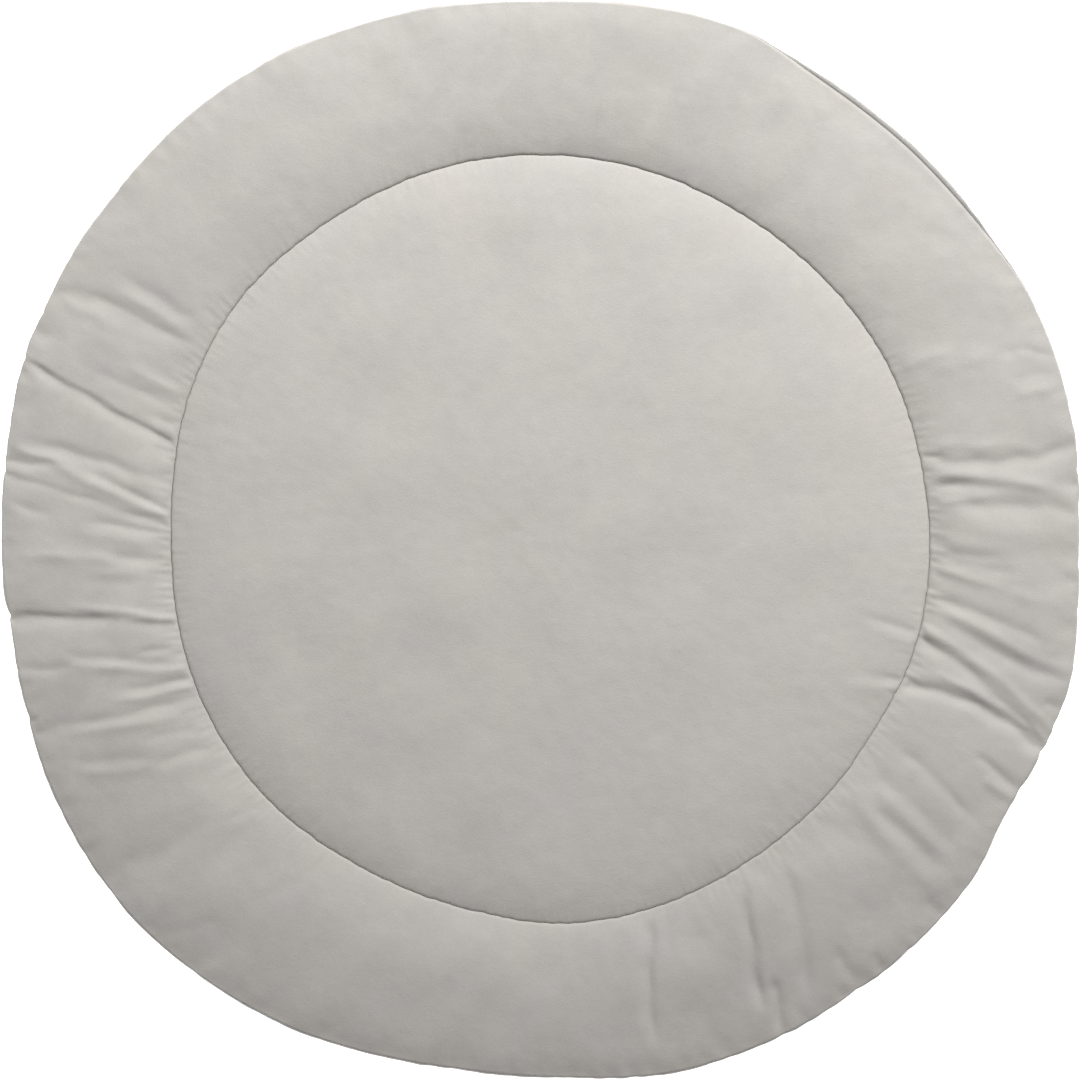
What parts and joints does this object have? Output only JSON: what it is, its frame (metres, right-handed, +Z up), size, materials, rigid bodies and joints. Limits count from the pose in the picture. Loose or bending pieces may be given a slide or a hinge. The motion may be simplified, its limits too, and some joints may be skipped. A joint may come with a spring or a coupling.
{
  "type": "baby play mat",
  "caption": "Round padded floor mat for a playpen: a thin padded centre sewn inside a plumper, softly puckered border, in pale grey velvet.",
  "frame": {"origin": "on the floor, under the middle of the mat's outline", "axes": "+Z up from the floor, through the mat's thickness; +Y is the top of the picture and +X its right, the mat being seen straight from above"},
  "size_m": [0.9516, 0.952, 0.0377],
  "materials": {
    "velvet": "short soft velvet pile, pale warm grey",
    "back_cloth": "plain woven cloth, mid warm grey"
  },
  "bodies": {
    "root": {"centre_panel": "velvet", "border_panel": "velvet", "back_panel": "back_cloth"}
  },
  "joints": []
}
